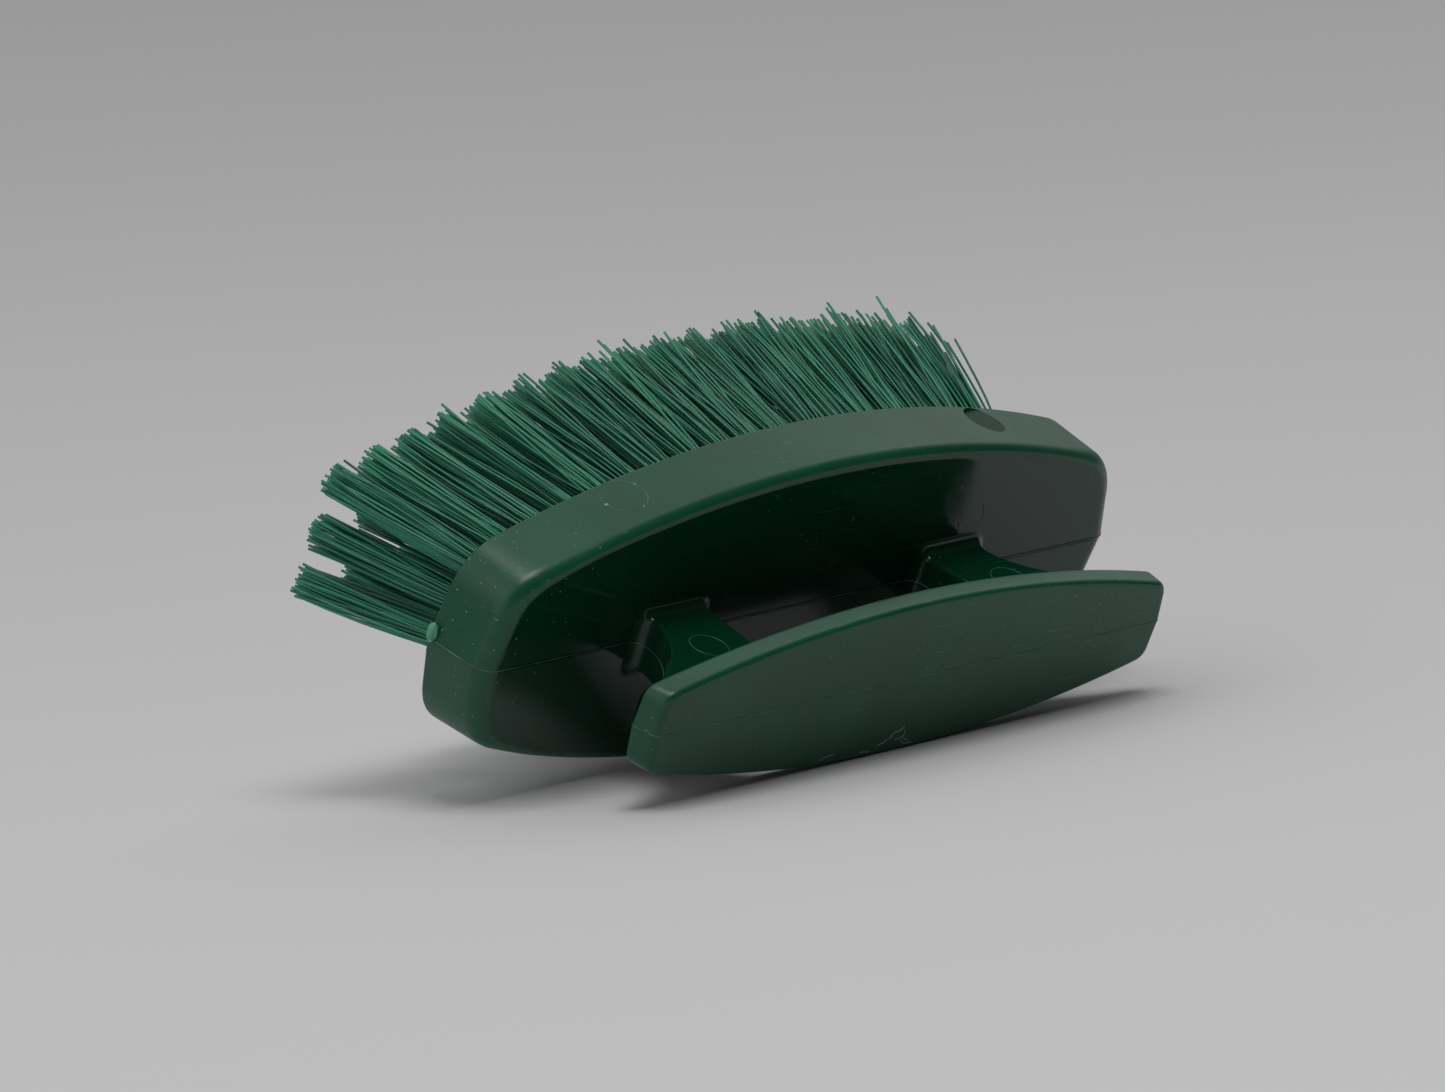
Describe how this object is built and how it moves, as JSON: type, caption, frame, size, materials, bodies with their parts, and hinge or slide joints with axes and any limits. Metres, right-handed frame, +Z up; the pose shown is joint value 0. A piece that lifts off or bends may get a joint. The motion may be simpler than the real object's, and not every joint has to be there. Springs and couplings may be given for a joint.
{
  "type": "nail and hand brush",
  "caption": "Hand-held scrubbing brush: lens-shaped plastic block with a finger-grip plate on two posts and splayed nylon bristle tufts.",
  "frame": {"origin": "bottom centre of the bounding box, on the ground the brush lies on", "axes": "+X along the brush's length, +Y towards the bristles, +Z up"},
  "size_m": [0.1144, 0.056, 0.0485],
  "materials": {
    "body_plastic": "moulded, semi-gloss, dark bottle green",
    "tuft_nylon": "extruded filament, satin, teal green"
  },
  "bodies": {
    "root": {"body": "body_plastic", "tuft_lower_01": "tuft_nylon", "tuft_lower_02": "tuft_nylon", "tuft_lower_03": "tuft_nylon", "tuft_lower_04": "tuft_nylon", "tuft_lower_05": "tuft_nylon", "tuft_lower_06": "tuft_nylon", "tuft_lower_07": "tuft_nylon", "tuft_lower_08": "tuft_nylon", "tuft_lower_inner_01": "tuft_nylon", "tuft_lower_inner_02": "tuft_nylon", "tuft_lower_inner_03": "tuft_nylon", "tuft_lower_inner_04": "tuft_nylon", "tuft_lower_inner_05": "tuft_nylon", "tuft_lower_inner_06": "tuft_nylon", "tuft_lower_inner_07": "tuft_nylon", "tuft_lower_inner_08": "tuft_nylon", "tuft_lower_inner_09": "tuft_nylon", "tuft_lower_inner_10": "tuft_nylon", "tuft_lower_inner_11": "tuft_nylon", "tuft_lower_inner_12": "tuft_nylon", "tuft_upper_01": "tuft_nylon", "tuft_upper_02": "tuft_nylon", "tuft_upper_03": "tuft_nylon", "tuft_upper_04": "tuft_nylon", "tuft_upper_05": "tuft_nylon", "tuft_upper_06": "tuft_nylon", "tuft_upper_07": "tuft_nylon", "tuft_upper_08": "tuft_nylon", "tuft_upper_09": "tuft_nylon", "tuft_upper_10": "tuft_nylon", "tuft_upper_11": "tuft_nylon", "tuft_upper_12": "tuft_nylon", "tuft_upper_13": "tuft_nylon", "tuft_upper_14": "tuft_nylon", "tuft_upper_15": "tuft_nylon", "tuft_upper_16": "tuft_nylon", "tuft_upper_17": "tuft_nylon", "tuft_upper_18": "tuft_nylon", "tuft_upper_inner_01": "tuft_nylon", "tuft_upper_inner_02": "tuft_nylon", "tuft_upper_inner_03": "tuft_nylon", "tuft_upper_inner_04": "tuft_nylon", "tuft_upper_inner_05": "tuft_nylon", "tuft_upper_inner_06": "tuft_nylon", "tuft_upper_inner_07": "tuft_nylon", "tuft_upper_inner_08": "tuft_nylon", "tuft_upper_inner_09": "tuft_nylon", "tuft_upper_inner_10": "tuft_nylon", "tuft_upper_inner_11": "tuft_nylon", "tuft_upper_inner_12": "tuft_nylon", "tuft_upper_inner_13": "tuft_nylon"}
  },
  "joints": []
}
